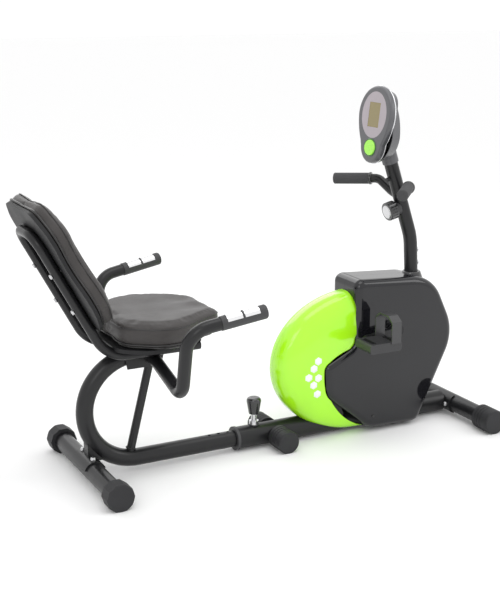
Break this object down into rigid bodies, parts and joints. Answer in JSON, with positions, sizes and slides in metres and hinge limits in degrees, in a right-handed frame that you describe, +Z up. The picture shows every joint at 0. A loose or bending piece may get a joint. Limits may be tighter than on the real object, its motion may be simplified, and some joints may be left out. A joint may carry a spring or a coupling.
{
  "type": "recumbent exercise bike",
  "caption": "Recumbent magnetic exercise bike: padded seat and backrest on a sliding C tube, cased flywheel drive with pedals, console on a post.",
  "frame": {"origin": "bottom centre of the bounding box, on the floor between the stabilisers", "axes": "+X forward from the rider to the console, +Y the rider's left, +Z up"},
  "size_m": [1.3066, 0.6768, 0.9595],
  "materials": {
    "tube_paint": "satin black powder coat over steel",
    "bare_steel": "machined or ground steel",
    "zinc_bolts": "bright zinc-plated fasteners",
    "pulse_chrome": "polished plated contact plates",
    "cast_wheel": "machined cast flywheel",
    "magnet_steel": "zinc-plated pressing",
    "cap_plastic": "textured black moulding",
    "grip_plastic": "fine textured black moulding",
    "bush_plastic": "natural nylon",
    "casing_black": "high gloss black moulding",
    "casing_green": "high gloss lime green moulding",
    "console_grey": "satin dark grey moulding",
    "panel_film": "satin printed panel",
    "screen": "clear window over an olive display",
    "button_green": "lime green dome",
    "board_green": "circuit board laminate",
    "belt_rubber": "ribbed belt",
    "foam_rubber": "closed-cell foam sleeve",
    "cable_sheath": "black cable sheath",
    "seat_vinyl": "grained warm dark grey vinyl over foam",
    "back_vinyl": "grained warm dark grey vinyl over foam"
  },
  "bodies": {
    "front_frame": {"main_beam": "tube_paint", "sleeve_bushes": "bush_plastic", "middle_support_tubes": "tube_paint", "middle_support_caps": "cap_plastic", "front_saddle": "tube_paint", "front_stabiliser_tube": "tube_paint", "front_end_caps": "cap_plastic", "frame_bolts": "zinc_bolts", "post_stem": "tube_paint", "drive_bracket": "tube_paint", "pull_pin_housing": "bare_steel", "post_collar": "grip_plastic", "console_post": "tube_paint", "handlebar": "tube_paint", "handlebar_grips": "foam_rubber", "wire_grommet": "foam_rubber", "tension_cable": "cable_sheath", "tension_housing": "grip_plastic", "console_back": "console_grey", "console_front": "console_grey", "console_panel": "panel_film", "display_glass": "screen", "circuit_board": "board_green", "drive_belt": "belt_rubber", "flywheel_axle": "bare_steel", "casing_screws": "zinc_bolts", "crank_bearings": "bare_steel", "casing_front_right": "casing_black", "casing_front_left": "casing_black", "casing_rear_right": "casing_green", "casing_rear_left": "casing_green"},
    "seat_frame": {"seat_rail": "tube_paint", "seat_strut": "tube_paint", "rear_stabiliser_tube": "tube_paint", "rear_end_caps": "cap_plastic", "rear_saddle": "tube_paint", "seat_frame_bolts": "zinc_bolts", "seat_bracket": "tube_paint", "backrest_hoop": "tube_paint", "seat_tray": "cap_plastic", "seat_cushion": "seat_vinyl", "backrest_panel": "cap_plastic", "backrest_cushion": "back_vinyl", "armrest_tube": "tube_paint", "armrest_grips": "grip_plastic", "pulse_plates": "pulse_chrome"},
    "locking_pin": {"pull_pin": "bare_steel", "pull_knob": "grip_plastic"},
    "flywheel": {"flywheel": "cast_wheel"},
    "crank": {"crank_axle": "bare_steel", "crank_pulley": "cap_plastic", "crank_arms": "tube_paint", "pedal_spindles": "bare_steel"},
    "pedal_right": {"pedal_right": "grip_plastic", "pedal_strap_right": "grip_plastic"},
    "pedal_left": {"pedal_left": "grip_plastic", "pedal_strap_left": "grip_plastic"},
    "tension_knob": {"tension_knob": "grip_plastic"},
    "magnet_bracket": {"magnet_bracket": "magnet_steel"},
    "console_button": {"console_button": "button_green"}
  },
  "joints": [
    {"name": "seat_slide", "type": "slide", "parent": "front_frame", "child": "seat_frame", "axis": [1, 0, 0], "range_m": [-0.081, 0.135]},
    {"name": "pin_slide", "type": "slide", "parent": "front_frame", "child": "locking_pin", "axis": [0, 0, 1], "range_m": [-0.009, 0]},
    {"name": "flywheel_spin", "type": "hinge", "parent": "front_frame", "child": "flywheel", "pos_m": [0.17086, 0.004, 0.222], "axis": [0, 1, 0], "continuous": true},
    {"name": "crank_spin", "type": "hinge", "parent": "front_frame", "child": "crank", "pos_m": [0.37486, 0, 0.3], "axis": [0, 1, 0], "continuous": true},
    {"name": "pedal_right_spin", "type": "hinge", "parent": "crank", "child": "pedal_right", "pos_m": [0.27781, -0.143, 0.28636], "axis": [0, 1, 0], "continuous": true},
    {"name": "pedal_left_spin", "type": "hinge", "parent": "crank", "child": "pedal_left", "pos_m": [0.4719, 0.143, 0.31364], "axis": [0, 1, 0], "continuous": true},
    {"name": "tension_turn", "type": "hinge", "parent": "front_frame", "child": "tension_knob", "pos_m": [0.42664, 0, 0.62378], "axis": [-0.9703, 0, -0.2419], "range_deg": [0, 300]},
    {"name": "magnet_swing", "type": "hinge", "parent": "front_frame", "child": "magnet_bracket", "pos_m": [0.12853, 0.004, 0.32677], "axis": [0, 1, 0], "range_deg": [0, 6]},
    {"name": "button_press", "type": "slide", "parent": "front_frame", "child": "console_button", "axis": [0.9925, 0, -0.1219], "range_m": [0, 0.0015], "stiffness_N_per_m": 800}
  ],
  "couplings": [
    {"joint": "crank_spin", "follows": "flywheel_spin", "ratio": 0.14286},
    {"joint": "magnet_swing", "follows": "tension_turn", "ratio": 0.02}
  ]
}
